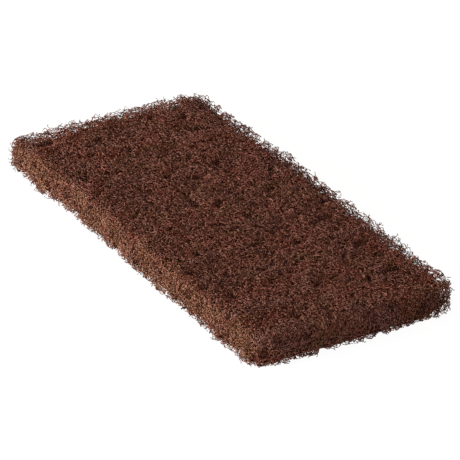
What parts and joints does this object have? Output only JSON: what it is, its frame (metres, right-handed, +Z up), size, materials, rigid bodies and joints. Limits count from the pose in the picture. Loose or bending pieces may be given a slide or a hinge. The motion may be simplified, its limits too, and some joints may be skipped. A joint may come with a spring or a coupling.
{
  "type": "scrubbing pad",
  "caption": "Rectangular block of open brown fibre web with rounded corners, held in the hand to scrub a surface.",
  "frame": {"origin": "on the resting plane, under the middle of the pad", "axes": "+X along the pad's length, +Y across its width, +Z up through its thickness"},
  "size_m": [0.25, 0.115, 0.0179],
  "materials": {
    "fibre_web": "matt, open web of crimped fibres with bonded grit"
  },
  "bodies": {
    "root": {"scrub_pad": "fibre_web"}
  },
  "joints": []
}
